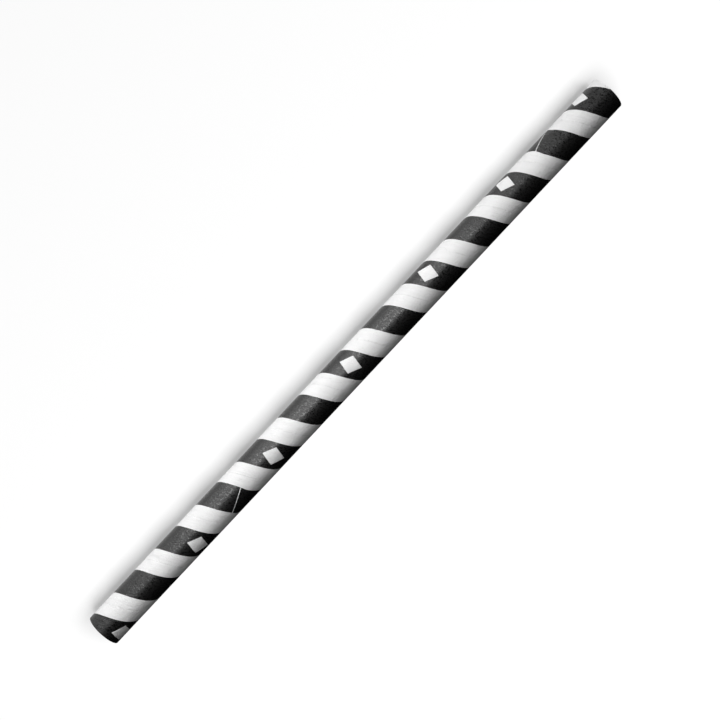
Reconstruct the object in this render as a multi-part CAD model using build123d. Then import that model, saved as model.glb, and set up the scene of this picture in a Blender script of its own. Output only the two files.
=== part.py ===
from build123d import *
import math
import os

# The straw lies on the XY plane along X, its middle over the origin. An angle round it is zero
# on the top line and grows toward -Y. A helix angle is the same, counted on from turn to turn.

# Driving dimensions, mm and degrees
straw_length = 197.0
straw_diameter = 10.0
wall_thickness = 0.45  # three strips of paper, wound and glued into one wall
turn_pitch = 16.08  # advance of the winding along the straw in one turn
ink_width = 8.39  # black print, measured along the straw
ink_depth = 0.12  # thickness given to the printed layer
first_ink_edge = -85.71  # X at which a black band begins on the top line
diamond_length = 6.4  # white shape in the print, along the band
diamond_width = 5.0
diamond_count = 7
first_diamond = -304.0  # helix angle of the one nearest the -X end
diamond_spacing = 699.5  # helix angle from one to the next
spare = 1.0  # how far a cutting shape stands clear of the wall

# Worked out from them
radius = straw_diameter / 2
bore_radius = radius - wall_thickness
ink_middle = first_ink_edge + ink_width / 2
girth = math.pi * straw_diameter
lead_angle = math.degrees(math.atan2(turn_pitch, girth))  # between the band and a square section


def point_on_section(x, r, angle):
    """The point at distance r and this angle round the straw, in the section at x."""
    turned = math.radians(angle)
    return (x, -r * math.sin(turned), radius + r * math.cos(turned))


def round_bar(r, length):
    """A round bar on the straw's axis."""
    return Pos(0, 0, radius) * Rot(0, 90, 0) * Cylinder(r, length)


def helical_band(middle, width, inner, outer):
    """A band wound round the whole straw: a sector of its section, twisted as it is drawn out along X."""
    end = -straw_length / 2
    centre = (end - middle) / turn_pitch * 360
    half = width / turn_pitch * 180
    arcs = [[point_on_section(end, r, centre + k * half) for k in (-1, 0, 1)] for r in (inner, outer)]
    edges = [Edge.make_three_point_arc(*arc) for arc in arcs]
    edges += [Edge.make_line(arcs[0][k], arcs[1][k]) for k in (0, 2)]
    sector = Face(Wire.combine(edges)[0])
    twist = 360 * straw_length / turn_pitch
    return Solid.extrude_linear_with_rotation(sector, (end, 0, radius), (straw_length, 0, 0), twist)


def diamond(helix_angle):
    """A diamond-shaped plug through the wall, in the middle of the black band and in line with it."""
    corners = [(diamond_length / 2, 0), (0, diamond_width / 2)]
    corners += [(-x, -y) for x, y in corners]
    plug = extrude(Polygon(*corners, align=None), amount=spare, both=True)
    x = ink_middle + turn_pitch * helix_angle / 360
    to_outer_face = Pos(0, 0, radius) * Rot(0, 0, lead_angle - 90)
    return Pos(x, 0, radius) * Rot(helix_angle, 0, 0) * to_outer_face * plug


def printed_stripe():
    """The black print: a helical layer flush with the outer face, open at each diamond."""
    band = helical_band(ink_middle, ink_width, bore_radius, radius + spare)
    layer = band - round_bar(radius - ink_depth, 2 * straw_length)
    layer = layer & round_bar(radius, 2 * straw_length)
    return layer - [diamond(first_diamond + k * diamond_spacing) for k in range(diamond_count)]


def paper_tube(stripe):
    """The wall, open at both ends, with the bed that the print lies in."""
    wall = round_bar(radius, straw_length) - round_bar(bore_radius, 2 * straw_length)
    return wall - stripe


def save(name, shape):
    """One solid body to one file, named after its piece."""
    shape.label = name
    export_step(shape, f"parts/{name}.step")


os.makedirs("parts", exist_ok=True)
stripe = printed_stripe()
save("printed_stripe", stripe)
save("paper_tube", paper_tube(stripe))
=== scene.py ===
import bpy
import numpy as np
from mathutils import Matrix, Vector


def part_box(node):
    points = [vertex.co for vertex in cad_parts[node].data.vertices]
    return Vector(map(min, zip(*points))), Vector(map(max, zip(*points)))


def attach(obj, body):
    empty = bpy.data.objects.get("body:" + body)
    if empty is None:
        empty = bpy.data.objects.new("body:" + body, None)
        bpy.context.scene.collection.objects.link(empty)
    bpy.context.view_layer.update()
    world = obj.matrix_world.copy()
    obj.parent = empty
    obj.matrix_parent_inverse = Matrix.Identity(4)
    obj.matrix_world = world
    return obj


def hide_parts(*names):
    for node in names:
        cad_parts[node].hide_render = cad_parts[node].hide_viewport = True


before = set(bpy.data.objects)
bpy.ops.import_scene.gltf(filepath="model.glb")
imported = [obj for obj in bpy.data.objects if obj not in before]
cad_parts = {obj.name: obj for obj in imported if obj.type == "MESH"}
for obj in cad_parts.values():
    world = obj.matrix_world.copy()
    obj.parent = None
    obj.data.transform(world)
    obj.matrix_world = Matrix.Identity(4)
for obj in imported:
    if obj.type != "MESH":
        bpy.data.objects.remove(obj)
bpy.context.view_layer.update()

# The straw lies along X on the floor. The section of the wound wall is described by an angle from
# the middle of the printed band, and it turns once in each pitch, so that a fixed angle runs along
# the winding. Lengths are in metres, and angles in degrees.
tubeLow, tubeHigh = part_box("paper_tube")
length = tubeHigh.x - tubeLow.x
radius = (tubeHigh.z - tubeLow.z) / 2

winding = {
    "pitch": 0.01608,  # advance along the straw in one turn
    "firstInkEdge": -0.08571,  # X at which a black band begins on the top line
    "inkWidth": 0.00839,  # black print, measured along the straw
    "wall": 0.00045,  # three strips, glued
    "ply": 0.00015,  # one strip of paper
    "inkDepth": 0.00012,  # bed of the printed layer
}
pitch = winding["pitch"]
boreRadius = radius - winding["wall"]
bandMiddle = winding["firstInkEdge"] + winding["inkWidth"] / 2
inkHalf = winding["inkWidth"] / pitch * 180  # half the black sector of the section
lead = np.arctan2(pitch, 2 * np.pi * radius)  # between the winding and a square section
turnLength = np.hypot(pitch, 2 * np.pi * radius)
stripHalf = 1000 * float(np.pi * radius * np.sin(lead))  # half the strip's width in mm, at right angles


# how far the real print strays along the straw from an even winding, in mm, at turn angles along the
# strip; it jumps where one repeat of the print ends and the next begins
stray = {
    "turns": (-360, 0, 360, 742,
              755, 1080, 1440, 1800, 2160, 2520, 2880, 3240, 3480, 3540,
              3553, 3640, 3920, 4000),
    "shifts": (0.2, 0.09, 0.02, -0.06,
               -0.4, -0.43, -0.33, -0.15, 0.04, 0.18, 0.28, 0.24, 0.12, 0.05,
               -0.5, -0.6, -1.0, -1.05),
}


# Shapes

def windingPoints(x, angle, r):
    # a point at distance r from the axis, at this section angle, turned by one turn in each pitch
    # of the way that the winding has come once the stray is taken off
    turn = np.radians(angle) + 2 * np.pi * (x - strayAt(x, angle) - bandMiddle) / pitch
    return np.stack([x + 0 * turn, -r * np.sin(turn), radius + r * np.cos(turn)], -1)


def turnsAt(x, angle):
    # how far along the strip this place is, as a turn angle
    return windingPlace(x, angle, radius)[..., 0] / (1000 * turnLength) * 360


def strayAt(x, angle):
    # what the table says for this place along the printed band, and across the white an even
    # change from one edge of the band to the other
    def onBand(place):
        return np.interp(turnsAt(x, place), stray["turns"], stray["shifts"]) / 1000

    signed = (angle + 180) % 360 - 180
    share = (angle % 360 - inkHalf) / (360 - 2 * inkHalf)
    acrossWhite = onBand(inkHalf) * (1 - share) + onBand(-inkHalf) * share
    return np.where(np.abs(signed) <= inkHalf, onBand(signed), acrossWhite)


def windingPlace(x, angle, r):
    # millimetres along the strip of paper and across it, as if it were unrolled at distance r
    slope = np.arctan2(pitch, 2 * np.pi * r)
    arc = r * np.radians(angle)
    along = (x - bandMiddle) / np.sin(slope) + arc * np.cos(slope)
    across = -arc * np.sin(slope) + 0 * x
    return 1000 * np.stack([along, across], -1)


def gridFaces(rows, columns, closedRows, closedColumns):
    # the corners of each quad of a grid, with the neighbours that close it either way
    i = np.arange(rows if closedRows else rows - 1)[:, None]
    j = np.arange(columns if closedColumns else columns - 1)[None, :]
    nextI = (i + 1) % rows
    nextJ = (j + 1) % columns
    corners = [i * columns + j, i * columns + nextJ, nextI * columns + nextJ, nextI * columns + j]
    return np.stack(np.broadcast_arrays(*corners), -1).reshape(-1, 4)


def gridCorners(values):
    # what each quad's corners hold, from a grid one row and one column larger than the quads
    parts = [values[:-1, :-1], values[:-1, 1:], values[1:, 1:], values[1:, :-1]]
    return np.stack(parts, 2).reshape(-1, 4, values.shape[-1])


def makePiece(name, points, faces, places, finishes, finishOfFace):
    mesh = bpy.data.meshes.new(name)
    mesh.vertices.add(len(points))
    mesh.vertices.foreach_set("co", points.astype(np.float32).ravel())
    mesh.loops.add(faces.size)
    mesh.loops.foreach_set("vertex_index", faces.astype(np.int32).ravel())
    mesh.polygons.add(len(faces))
    mesh.polygons.foreach_set("loop_start", np.arange(0, faces.size, 4, dtype=np.int32))
    mesh.update(calc_edges=True)
    layer = mesh.uv_layers.new(name="winding")
    layer.uv.foreach_set("vector", places.astype(np.float32).ravel())
    for finish in finishes:
        mesh.materials.append(finish)
    mesh.polygons.foreach_set("material_index", finishOfFace.astype(np.int32))
    mesh.shade_smooth()
    mesh.set_sharp_from_angle(angle=np.radians(35))
    mesh.validate()
    made = bpy.data.objects.new(name, mesh)
    bpy.context.scene.collection.objects.link(made)
    print("piece", name, len(faces), "quads")
    return made


# Surface of the wound wall

surface = {
    "rowStep": 0.00027,  # along the straw, outside
    "boreRowStep": 0.0006,
    "columnStep": 5.0,  # round the straw
    "bedColumnStep": 9.5,
    "seamDepth": 0.000055,  # where the edges of the outer strip meet, opposite the print
    "seamReach": 1.0,  # half-width of that groove
    "underSeams": ((131.0, 0.000014), (-149.0, -0.000012)),  # what shows of the strips beneath
    "underReach": 2.2,
    "boreSeam": 300.0,
    "slowWave": 0.00002,  # how far the wall is out of round
    "edgeRounding": 0.00004,  # at the cut ends
    "cutWaviness": 0.00003,
    "burr": 0.00004,  # the cut presses the wall inwards
    "burrLength": 0.0004,
    "cutWaveReach": 0.004,  # how far along the straw the waves of the cut draw its surface
    "boreCornerTurn": 0.6,  # degrees, between the two bore columns at each edge of the bed
}


def bump(distance, reach):
    # a smooth bell of height 1
    return np.exp(-(distance / reach) ** 2)


def endNearness(x, reach):
    # 1 at either cut end, falling to 0 within the reach
    inside = length / 2 - np.abs(x)
    return np.exp(-(inside / reach) ** 2)


def outerRadius(x, angle):
    # the full radius, less the groove of the seam, what shows of the strips beneath it, a slow
    # wave along and round the straw, and the rounding of the cut edges
    turn = np.radians(angle) + 2 * np.pi * (x - bandMiddle) / pitch
    fall = surface["seamDepth"] * bump(180 - np.abs(angle), surface["seamReach"]) + 0 * x
    fall = fall + max(height for place, height in surface["underSeams"])
    for place, height in surface["underSeams"]:
        fall = fall - height * bump(angle - place, surface["underReach"])
    wave = np.sin(2 * turn + 31 * x + 0.6) * np.sin(57 * x + 1.1) + np.sin(3 * turn - 83 * x)
    fall = fall + surface["slowWave"] * (2 - wave) / 4
    fall = fall + surface["edgeRounding"] * endNearness(x, surface["edgeRounding"])
    return radius - fall


def cutShift(angle, side):
    # how far the cut lies inside the straw's length, as two slow waves round it
    waves = 2 + np.sin(np.radians(3 * angle) + side) + np.sin(np.radians(7 * angle) + 2 * side)
    return surface["cutWaviness"] * waves / 4


def alongStraw(step):
    # places along the straw, closer together at the cut ends
    even = np.arange(-length / 2 + step, length / 2 - step / 2, step)
    near = surface["edgeRounding"] * np.array([0, 0.5, 1, 2, 4])
    return np.concatenate([-length / 2 + near, even, length / 2 - near[::-1]])


def trimmed(x, angle):
    # the same places, drawn in a little where the cut is wavy
    side = np.sign(x)
    return x - side * cutShift(angle, side) * endNearness(x, surface["cutWaveReach"])


def evenAngles(first, last, step):
    count = int(np.ceil((last - first) / step)) + 1
    return np.linspace(first, last, count)


def whiteAngles():
    # the unprinted part of the section, with more places at each seam
    groove = surface["seamReach"] * np.array([0, 0.6, 1.2, 2.2])
    fine = [180 + groove, 180 - groove]
    for place, height in surface["underSeams"]:
        fine.append(place % 360 + surface["underReach"] * np.array([-1.8, -0.9, 0, 0.9, 1.8]))
    fine = np.concatenate(fine)
    even = evenAngles(inkHalf, 360 - inkHalf, surface["columnStep"])
    gap = np.abs(even[:, None] - fine[None, :]).min(1)
    kept = even[gap > 0.45 * surface["columnStep"]]
    ends = [inkHalf, 360 - inkHalf]
    return np.unique(np.round(np.concatenate([kept, fine, ends]), 4))


def wallPiece(finishes):
    # One closed grid. Its columns stand round the section, down into the bed of the print, and its
    # rows run along the outside, over one cut end, back through the bore and over the other.
    white = whiteAngles()
    bed = evenAngles(-inkHalf, inkHalf, surface["bedColumnStep"]) + 360
    angle = np.concatenate([white, bed])
    inBed = np.arange(len(angle)) >= len(white)
    boreAngle = angle.copy()
    # the edges of the bed are one place outside, and two columns a little apart in the bore
    boreAngle[[len(white) - 1, -1]] -= surface["boreCornerTurn"]
    boreAngle[[0, len(white)]] += surface["boreCornerTurn"]
    signed = (angle + 180) % 360 - 180
    columns = len(angle)
    bedDepth = np.where(inBed, winding["inkDepth"], 0)

    outerX = trimmed(alongStraw(surface["rowStep"])[:, None], angle[None, :])
    outerR = outerRadius(outerX, signed[None, :]) - bedDepth
    boreX = trimmed(alongStraw(surface["boreRowStep"])[::-1, None], boreAngle[None, :])
    boreR = boreRadius - surface["burr"] * endNearness(boreX, surface["burrLength"])
    shares = np.array([0.18, 0.34, 0.5, 0.66, 0.82])[:, None]

    def cutRows(startX, startR, startAngle, endX, endR, endAngle):
        # rows across the thickness of the wall, from one edge of the cut to the other
        ends = ((startX, endX), (startR, endR), (startAngle, endAngle))
        return [a + (b - a) * shares for a, b in ends]

    right = cutRows(outerX[-1], outerR[-1], angle, boreX[0], boreR[0], boreAngle)
    left = cutRows(boreX[-1], boreR[-1], boreAngle, outerX[0], outerR[0], angle)
    x = np.concatenate([outerX, right[0], boreX, left[0]])
    r = np.concatenate([outerR, right[1], boreR, left[1]])
    angles = [np.broadcast_to(angle, outerX.shape), right[2]]
    angles += [np.broadcast_to(boreAngle, boreX.shape), left[2]]
    angles = np.concatenate(angles)
    points = windingPoints(x, angles, r).reshape(-1, 3)
    faces = gridFaces(len(x), columns, True, True)

    # places on the paper, cut along the seam where the edges of its strip meet
    def unrolled(seam, r):
        turned = np.concatenate([angles, angles[:, :1] + 360], 1) - (seam - 180)
        along = np.concatenate([x, x[:, :1]], 1)
        turned = np.concatenate([turned, turned[:1]], 0)
        along = np.concatenate([along, along[:1]], 0)
        corners = gridCorners(windingPlace(along, turned, r))
        beyond = gridCorners(windingPlace(along, turned - 360, r))
        past = np.tile(angle >= seam, len(x))
        return np.where(past[:, None, None], beyond, corners)

    # outside, cut ends and bore, by the row that a face starts from
    firstCutEnds = len(outerX) + len(shares)
    boreEnds = len(x) - len(shares) - 1
    kind = np.ones(len(x), int)
    kind[:len(outerX) - 1] = 0
    kind[firstCutEnds:boreEnds] = 2
    finishOfFace = np.repeat(kind, columns)
    outside = unrolled(180, radius)
    inside = unrolled(surface["boreSeam"], boreRadius)
    places = np.where((finishOfFace == 2)[:, None, None], inside, outside)
    return makePiece("wound_wall", points, faces, places, finishes, finishOfFace)


def printPiece(finishes):
    # The printed layer is a closed ribbon: its face shares the wall's surface and edges, and its
    # underside lies on the bed.
    face = evenAngles(-inkHalf, inkHalf, surface["columnStep"])
    under = evenAngles(-inkHalf, inkHalf, surface["bedColumnStep"])
    count = len(face)
    under = np.interp(np.linspace(0, 1, count), np.linspace(0, 1, len(under)), under)[::-1]
    angle = np.concatenate([face, under])
    depth = np.where(np.arange(2 * count) < count, 0, winding["inkDepth"])
    x = trimmed(alongStraw(surface["rowStep"])[:, None], angle[None, :])
    r = outerRadius(x, angle[None, :]) - depth
    points = windingPoints(x, angle, r).reshape(-1, 3)
    rows, columns = x.shape
    sides = gridFaces(rows, columns, False, True)
    j = np.arange(count - 1)
    firstEnd = np.stack([j, 2 * count - 1 - j, 2 * count - 2 - j, j + 1], -1)
    lastEnd = firstEnd[:, ::-1] + (rows - 1) * columns
    faces = np.concatenate([sides, firstEnd, lastEnd])

    # the diamonds stray along the straw with the print, and keep their places round it
    diamondTurns = ink["firstDiamond"] + ink["diamondSpacing"] * np.arange(ink["diamonds"])
    shifts = np.interp(diamondTurns, stray["turns"], stray["shifts"]) / 1000
    slide = np.interp(turnsAt(x, angle), diamondTurns, shifts)
    paper = windingPlace(x - slide, angle, radius)
    paper = np.concatenate([paper, paper[:, :1]], 1)
    places = gridCorners(paper).reshape(-1, 2)
    flat = paper[:, :-1].reshape(-1, 2)
    places = np.concatenate([places, flat[firstEnd.ravel()], flat[lastEnd.ravel()]])
    kind = np.tile(np.where(np.arange(columns) < count - 1, 0, 1), rows - 1)
    kind = np.concatenate([kind, np.ones(2 * (count - 1), int)])
    return makePiece("printed_layer", points, faces, places, finishes, kind)


# Materials

class Link:
    # wraps a node's output, so that arithmetic on it adds Math nodes
    def __init__(self, recipe, socket):
        self.recipe = recipe
        self.socket = socket

    def __add__(self, other):
        return self.recipe.math("ADD", self, other)

    def __radd__(self, other):
        return self.recipe.math("ADD", other, self)

    def __sub__(self, other):
        return self.recipe.math("SUBTRACT", self, other)

    def __rsub__(self, other):
        return self.recipe.math("SUBTRACT", other, self)

    def __mul__(self, other):
        return self.recipe.math("MULTIPLY", self, other)

    def __rmul__(self, other):
        return self.recipe.math("MULTIPLY", other, self)

    def __truediv__(self, other):
        return self.recipe.math("DIVIDE", self, other)

    def __rtruediv__(self, other):
        return self.recipe.math("DIVIDE", other, self)

    def __abs__(self):
        return self.recipe.math("ABSOLUTE", self)


class Recipe:
    # the nodes of one material, or of the world
    def __init__(self, owner):
        self.owner = owner
        self.owner.use_nodes = True
        self.tree = owner.node_tree
        self.tree.nodes.clear()

    def node(self, kind, settings=None, sockets=None, output=0):
        made = self.tree.nodes.new(kind)
        for key, value in (settings or {}).items():
            setattr(made, key, value)
        for key, value in (sockets or {}).items():
            if isinstance(value, Link):
                self.tree.links.new(value.socket, made.inputs[key])
            else:
                made.inputs[key].default_value = value
        return Link(self, made.outputs[output]) if made.outputs else None

    def math(self, operation, *values):
        return self.node("ShaderNodeMath", {"operation": operation}, dict(enumerate(values)))

    def ramp(self, value, low, high):
        # 0 below low, 1 above high, smooth between them
        settings = {"interpolation_type": "SMOOTHSTEP"}
        sockets = {"Value": value, "From Min": low, "From Max": high}
        return self.node("ShaderNodeMapRange", settings, sockets)

    def mix(self, factor, first, second):
        # colours, from the first at 0 to the second at 1
        settings = {"data_type": "RGBA"}
        sockets = {0: factor, 6: first, 7: second}
        return self.node("ShaderNodeMix", settings, sockets, 2)

    def noise(self, place, scale, detail=2.0, roughness=0.5):
        # scale in repeats per millimetre of each coordinate, or one number for all
        if not isinstance(scale, tuple):
            scale = (scale, scale, scale)
        scaled = self.node("ShaderNodeVectorMath", {"operation": "MULTIPLY"}, {0: place, 1: scale})
        sockets = {"Vector": scaled, "Scale": 1.0, "Detail": detail, "Roughness": roughness}
        return self.node("ShaderNodeTexNoise", {}, sockets)

    def relief(self, height, distance):
        return self.node("ShaderNodeBump", {}, {"Height": height, "Distance": distance})

    def finish(self, sockets, fixed):
        # what varies is linked, and what is the same all over is set on the shader
        shader = self.node("ShaderNodeBsdfPrincipled", {}, {**sockets, **fixed})
        self.node("ShaderNodeOutputMaterial", {}, {"Surface": shader})
        return self.owner


def materialRecipe(name):
    return Recipe(bpy.data.materials.new(name))


paper = {
    "white": (0.93, 0.93, 0.93, 1),
    "shade": (0.885, 0.885, 0.885, 1),
    "line": (0.7, 0.7, 0.7, 1),
    "inner": (0.83, 0.83, 0.825, 1),
    "innerShade": (0.76, 0.76, 0.755, 1),
    "raw": (0.82, 0.815, 0.805, 1),
    "glueLine": (0.5, 0.495, 0.485, 1),
    "roughness": 0.62,
    "roughnessSpread": 0.14,
    "fibreRelief": 0.00014,
}

ink = {
    "black": (0.007, 0.007, 0.007, 1),
    "worn": (0.02, 0.02, 0.02, 1),
    "smooth": 0.18,
    "matte": 0.48,
    "specular": 0.6,
    "relief": 0.00005,
    "raggedness": 0.05,  # mm, at the edges of the print
    "edgeInset": 0.02,  # mm, from the edge of the printed layer
    "edgeBlur": 0.03,
    "diamondLength": 6.4,  # mm, along the band
    "diamondWidth": 5.0,
    "diamonds": 7,
    "firstDiamond": -304.0,  # turn angle along the band
    "diamondSpacing": 699.5,
    "firstJoint": 748.5,  # white hairline at each repeat of the print
    "diamondsPerRepeat": 4,
    "jointWidth": 0.2,
}


def paperPlace(recipe):
    # millimetres along and across the strip
    return recipe.node("ShaderNodeUVMap", {"uv_map": "winding"})


def fibreHeight(recipe, place):
    # felted grain, finer fibres that lie mostly along the strip, and a slow cockle
    grain = recipe.noise(place, (1.9, 2.5, 1.0), 3.0, 0.6)
    fibres = recipe.noise(place, (1.6, 9.0, 1.0), 2.0, 0.6)
    cockle = recipe.noise(place, (0.25, 0.5, 1.0), 1.0)
    return grain + fibres * 0.25 + cockle * 1.5


def paperRoughness(recipe, place):
    # a little up and down with the fibres
    spread = paper["roughnessSpread"]
    fibres = recipe.noise(place, (2.0, 5.0, 1.0), 2.0)
    return fibres * spread + (paper["roughness"] - spread / 2)


def whiteTone(recipe, place, across):
    # cloudy white with streaks along the strip, broken hairlines, and a darker seam at its edges
    cloud = recipe.noise(place, 0.3, 2.0, 0.6)
    streak = recipe.noise(place, (0.09, 1.7, 1.0), 3.0, 0.6)
    grain = recipe.noise(place, (1.8, 3.4, 1.0), 2.0, 0.6)
    tone = recipe.ramp(cloud * 0.5 + streak * 0.9 + grain * 0.5, 0.75, 1.2)
    wander = recipe.noise(place, (0.07, 0.7, 1.0), 1.0)
    patches = recipe.ramp(recipe.noise(place, (0.2, 0.7, 1.0), 1.0), 0.42, 0.62)
    hairline = (1 - recipe.ramp(abs(wander - 0.5), 0.002, 0.012)) * patches
    wave = recipe.noise(place, (0.35, 0.02, 1.0), 2.0) - 0.5
    seam = 1 - recipe.ramp(stripHalf - abs(across) + wave * 0.3, 0.05, 0.22)
    breaks = recipe.ramp(recipe.noise(place, (0.22, 0.02, 1.0), 3.0), 0.4, 0.65)
    lines = recipe.math("MAXIMUM", hairline * 0.45, seam * breaks * 0.7)
    pale = recipe.mix(tone, paper["white"], paper["shade"])
    return recipe.mix(lines, pale, paper["line"])


def whitePaper():
    recipe = materialRecipe("white_paper")
    place = paperPlace(recipe)
    across = recipe.node("ShaderNodeSeparateXYZ", {}, {0: place}, 1)
    colour = whiteTone(recipe, place, across)
    height = fibreHeight(recipe, place)
    linked = {"Base Color": colour, "Roughness": paperRoughness(recipe, place)}
    linked["Normal"] = recipe.relief(height, paper["fibreRelief"])
    return recipe.finish(linked, {"IOR": 1.45})


def printedPaper():
    recipe = materialRecipe("black_print")
    place = paperPlace(recipe)
    along = recipe.node("ShaderNodeSeparateXYZ", {}, {0: place}, 0)
    across = recipe.node("ShaderNodeSeparateXYZ", {}, {0: place}, 1)
    wobble = recipe.noise(place, 3.2, 2.0, 0.7) - 0.5
    ragged = wobble * (2 * ink["raggedness"])
    perTurn = 1000 * turnLength / 360
    bandHalf = 1000 * winding["inkWidth"] / 2 * float(np.cos(lead))

    def fromRepeat(first, spacing):
        # millimetres along the strip to the nearest place of what repeats on it
        period = spacing * perTurn
        shifted = along - (first * perTurn - period / 2)
        wrapped = recipe.math("FLOORED_MODULO", shifted, period)
        return abs(wrapped - period / 2)

    # how far inside the print's edges, outside the diamonds and beside the hairlines, in mm
    insideBand = bandHalf - abs(across)
    toDiamond = fromRepeat(ink["firstDiamond"], ink["diamondSpacing"])
    half = ink["diamondLength"] / 2
    tall = ink["diamondWidth"] / 2
    steepness = half * tall / float(np.hypot(half, tall))
    outsideDiamond = (toDiamond / half + abs(across) / tall - 1) * steepness
    repeat = ink["diamondsPerRepeat"] * ink["diamondSpacing"]
    outsideJoint = fromRepeat(ink["firstJoint"], repeat) - ink["jointWidth"] / 2
    inside = recipe.math("MINIMUM", insideBand - ink["edgeInset"], outsideDiamond)
    inside = recipe.math("MINIMUM", inside, outsideJoint)
    covered = recipe.ramp(inside + ragged, -ink["edgeBlur"], ink["edgeBlur"])

    # a closed film of ink shines between fibres that stay matte
    mottle = recipe.noise(place, (0.9, 1.6, 1.0), 3.0, 0.6)
    speckle = recipe.noise(place, (2.0, 2.8, 1.0), 2.0, 0.6)
    film = recipe.ramp(speckle * 0.9 + mottle * 0.7, 0.78, 0.9)
    pinholes = recipe.ramp(recipe.noise(place, (7.0, 13.0, 1.0), 2.0, 0.6), 0.7, 0.8)
    black = recipe.mix(pinholes, ink["black"], ink["worn"])
    white = whiteTone(recipe, place, across)
    height = fibreHeight(recipe, place)
    inkRough = film * (ink["smooth"] - ink["matte"]) + ink["matte"]
    paperRough = paperRoughness(recipe, place)
    linked = {"Base Color": recipe.mix(covered, white, black)}
    linked["Roughness"] = paperRough + (inkRough - paperRough) * covered
    depth = covered * (ink["relief"] / paper["fibreRelief"] - 1) + 1
    linked["Normal"] = recipe.relief(height * depth, paper["fibreRelief"])
    return recipe.finish(linked, {"IOR": 1.5, "Specular IOR Level": ink["specular"]})


def cutPaper():
    # the cut through the three strips: raw fibres, with a darker line of glue between strips
    recipe = materialRecipe("cut_edge")
    place = recipe.node("ShaderNodeTexCoord", {}, {}, "Object")
    y = recipe.node("ShaderNodeSeparateXYZ", {}, {0: place}, 1)
    z = recipe.node("ShaderNodeSeparateXYZ", {}, {0: place}, 2) - float(radius)
    fromAxis = recipe.math("SQRT", y * y + z * z) * 1000
    fuzz = recipe.noise(place, 22000.0, 3.0, 0.7)
    depth = 1000 * float(radius) - fromAxis + (fuzz - 0.5) * 0.03
    plyThickness = 1000 * winding["ply"]
    within = recipe.math("PINGPONG", depth, plyThickness / 2)
    strip = recipe.math("FLOORED_MODULO", depth, plyThickness)
    toLine = recipe.math("MINIMUM", strip, plyThickness - strip)
    line = 1 - recipe.ramp(toLine, 0.008, 0.026)
    colour = recipe.mix(line * 0.8, paper["raw"], paper["glueLine"])
    height = recipe.noise(place, 9000.0, 4.0, 0.7) + within * 4 - line * 0.6
    linked = {"Base Color": colour, "Normal": recipe.relief(height, 0.00002)}
    return recipe.finish(linked, {"Roughness": 0.85})


def borePaper():
    # the inner strip, unprinted and a little rougher, with the helical seam where its edges meet
    recipe = materialRecipe("bore_paper")
    place = paperPlace(recipe)
    across = recipe.node("ShaderNodeSeparateXYZ", {}, {0: place}, 1)
    boreLead = np.arctan2(pitch, 2 * np.pi * boreRadius)
    boreHalf = 1000 * float(np.pi * boreRadius * np.sin(boreLead))
    seam = 1 - recipe.ramp(boreHalf - abs(across), 0.04, 0.14)
    cloud = recipe.noise(place, 0.5, 3.0, 0.6)
    tone = recipe.mix(recipe.ramp(cloud, 0.35, 0.8), paper["inner"], paper["innerShade"])
    colour = recipe.mix(seam * 0.55, tone, paper["glueLine"])
    height = fibreHeight(recipe, place) - seam * 4
    linked = {"Base Color": colour, "Normal": recipe.relief(height, 2 * paper["fibreRelief"])}
    return recipe.finish(linked, {"Roughness": 0.75})


# Floor, lamps and camera

studio = {
    "floorSize": 6.0,
    "floorWhite": 0.5,
    "floorGlow": 0.39,  # what the floor shows even in full shadow
    "fadeStart": 0.14,  # where the floor begins to fade into the white of the backdrop
    "fadeEnd": 0.5,
    "litSide": 0.38,  # how much the floor lights the straw on the softbox side
    "darkSide": 0.13,
    "litShine": 0.9,  # how bright the floor stands in the straw's gloss
    "darkShine": 0.003,
    "sideStart": -0.004,  # Y at which the floor's light begins to change from dark side to lit side
    "sideEnd": 0.008,
    "ambient": 0.01,
    "glossAmbient": 0.0,
    "endAway": 0.5,  # lamps that face the straw's two ends
    "endHeight": 0.02,
    "endLength": 0.1,
    "endWidth": 0.03,
    "endBrightness": 28.0,
    "keyTilt": 24.5,  # the floor's own lamp, from overhead toward -Y
    "keyDistance": 1.5,
    "keyLength": 1.95,
    "keyWidth": 0.84,
    "keyBrightness": 7.8,
}

# panels of the softbox on the +Y side: degrees from overhead at its two edges, X at its two ends,
# distance, brightness, and where it shows: in the gloss, in the matte light or in both
softbox = {
    "whole": (2.0, 51.5, -0.16, 0.105, 0.30, 2.6, "both"),
    "key": (44.0, 51.5, -0.16, 0.105, 0.29, 14.2, "matte"),
    "upper_bar": (7.0, 23.0, -0.115, 0.08, 0.28, 4.2, "gloss"),
    "lower_bar": (44.0, 58.0, -0.12, 0.09, 0.28, 4.4, "gloss"),
    "low_reflector": (62.0, 88.0, -0.17, 0.14, 0.30, 2.2, "gloss"),
}

view = {
    "position": (0.00101, 0.0001, 0.36154),
    "aim": (0.00109, -0.00056, 0.005),
    "heading": -46.84,  # where the picture's right-hand side points, from X
    "focalPixels": 1332.2,
    "picturePixels": 720,
    "sensor": 36.0,
}


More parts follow.
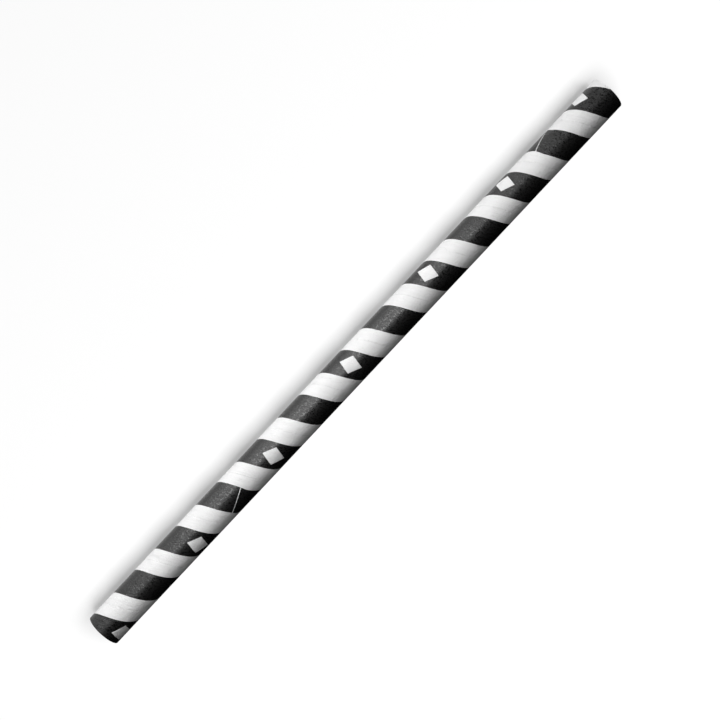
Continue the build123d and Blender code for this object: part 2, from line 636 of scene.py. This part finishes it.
def makeFloor():
    half = studio["floorSize"] / 2
    corners = [(-half, -half, 0), (half, -half, 0), (half, half, 0), (-half, half, 0)]
    mesh = bpy.data.meshes.new("floor")
    mesh.from_pydata(corners, [], [(0, 1, 2, 3)])
    floor = bpy.data.objects.new("floor", mesh)
    bpy.context.scene.collection.objects.link(floor)
    recipe = materialRecipe("floor_white")

    def glow(strength):
        return recipe.node("ShaderNodeEmission", {}, {"Strength": strength})

    def shaderMix(factor, first, second):
        return recipe.node("ShaderNodeMixShader", {}, {0: factor, 1: first, 2: second})

    place = recipe.node("ShaderNodeTexCoord", {}, {}, "Object")
    y = recipe.node("ShaderNodeSeparateXYZ", {}, {0: place}, 1)
    away = recipe.node("ShaderNodeVectorMath", {"operation": "LENGTH"}, {0: place}, "Value")
    glossy = recipe.node("ShaderNodeLightPath", {}, {}, "Is Glossy Ray")
    seen = recipe.node("ShaderNodeLightPath", {}, {}, "Is Camera Ray")
    white = studio["floorWhite"]
    near = recipe.node("ShaderNodeBsdfDiffuse", {}, {"Color": (white, white, white, 1)})
    near = recipe.node("ShaderNodeAddShader", {}, {0: near, 1: glow(studio["floorGlow"])})
    shown = shaderMix(recipe.ramp(away, studio["fadeStart"], studio["fadeEnd"]), near, glow(1.0))
    # what the straw gets from the floor is more on the side of the softbox
    lit = shaderMix(glossy, glow(studio["litSide"]), glow(studio["litShine"]))
    dark = shaderMix(glossy, glow(studio["darkSide"]), glow(studio["darkShine"]))
    felt = shaderMix(recipe.ramp(y, studio["sideStart"], studio["sideEnd"]), dark, lit)
    both = shaderMix(seen, felt, shown)
    recipe.node("ShaderNodeOutputMaterial", {}, {"Surface": both})
    recipe.owner.cycles.emission_sampling = "NONE"  # so that each kind of ray gets its own glow
    mesh.materials.append(recipe.owner)
    return floor


def makeWorld():
    # white to the camera, dim to the straw, and dimmer still in its gloss
    world = bpy.data.worlds.new("studio")
    bpy.context.scene.world = world
    recipe = Recipe(world)
    glossy = recipe.node("ShaderNodeLightPath", {}, {}, "Is Glossy Ray")
    seen = recipe.node("ShaderNodeLightPath", {}, {}, "Is Camera Ray")

    def chosen(ray, otherwise, value):
        # this value for this kind of ray, and the other one for the rest
        sockets = {"Value": ray, "To Min": otherwise, "To Max": value}
        return recipe.node("ShaderNodeMapRange", {}, sockets)

    strength = chosen(glossy, studio["ambient"], studio["glossAmbient"])
    strength = chosen(seen, strength, 1.0)
    sky = recipe.node("ShaderNodeBackground", {}, {"Color": (1, 1, 1, 1), "Strength": strength})
    recipe.node("ShaderNodeOutputWorld", {}, {"Surface": sky})


def lightsOnly(lamp, receivers):
    # this lamp reaches these objects and no others
    group = bpy.data.collections.new(lamp.name + "_lights")
    for receiver in receivers:
        group.objects.link(receiver)
    lamp.light_linking.receiver_collection = group


def addLamp(name, kind, place, target, settings):
    data = bpy.data.lights.new(name, kind)
    for key, value in settings.items():
        setattr(data, key, value)
    lamp = bpy.data.objects.new(name, data)
    lamp.location = place
    lamp.rotation_euler = (Vector(target) - Vector(place)).to_track_quat("-Z", "Y").to_euler()
    lamp.visible_camera = False
    bpy.context.scene.collection.objects.link(lamp)
    return lamp


def addPanel(name, place, target, long, wide, brightness):
    # power is brightness times the panel's area times pi
    power = brightness * long * wide * np.pi
    settings = {"shape": "RECTANGLE", "size": long, "size_y": wide, "energy": power}
    return addLamp(name, "AREA", place, target, settings)


def makeLamps(floor, straw):
    for name, (first, last, left, right, away, brightness, shows) in softbox.items():
        middle = np.radians((first + last) / 2)
        wide = 2 * away * np.tan(np.radians(last - first) / 2)
        x = (left + right) / 2
        place = (x, away * np.sin(middle), radius + away * np.cos(middle))
        panel = addPanel(name, place, (x, 0, radius), right - left, wide, brightness)
        panel.visible_diffuse = shows != "gloss"
        panel.visible_glossy = shows != "matte"
        lightsOnly(panel, straw)

    sizes = (studio["endLength"], studio["endWidth"])
    for name, side in (("left_end", -1), ("right_end", 1)):
        place = (side * studio["endAway"], 0.0, studio["endHeight"])
        panel = addPanel(name, place, (0, 0, radius), *sizes, studio["endBrightness"])
        panel.visible_glossy = False
        lightsOnly(panel, straw)

    tilt = np.radians(studio["keyTilt"])
    away = studio["keyDistance"]
    place = (0.0, -away * np.sin(tilt), away * np.cos(tilt))
    sizes = (studio["keyLength"], studio["keyWidth"])
    key = addPanel("floor_key", place, (0, 0, 0), *sizes, studio["keyBrightness"])
    lightsOnly(key, [floor])


def makeCamera():
    data = bpy.data.cameras.new("camera")
    data.sensor_width = view["sensor"]
    data.lens = view["sensor"] * view["focalPixels"] / view["picturePixels"]
    camera = bpy.data.objects.new("camera", data)
    bpy.context.scene.collection.objects.link(camera)
    bpy.context.scene.camera = camera
    heading = np.radians(view["heading"])
    back = (Vector(view["position"]) - Vector(view["aim"])).normalized()
    across = Vector((np.cos(heading), np.sin(heading), 0))
    up = back.cross(across).normalized()
    across = up.cross(back)
    turned = Matrix((across, up, back)).transposed().to_4x4()
    camera.matrix_world = Matrix.Translation(view["position"]) @ turned


print("materials")
white = whitePaper()
printed = printedPaper()
cut = cutPaper()
bore = borePaper()

print("pieces")
wall = wallPiece([white, cut, bore])
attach(wall, "root")
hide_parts("paper_tube")
layer = printPiece([printed, cut])
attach(layer, "root")
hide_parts("printed_stripe")

print("studio")
floor = makeFloor()
makeWorld()
makeLamps(floor, [wall, layer])
makeCamera()
scene = bpy.context.scene
scene.view_settings.view_transform = "Standard"
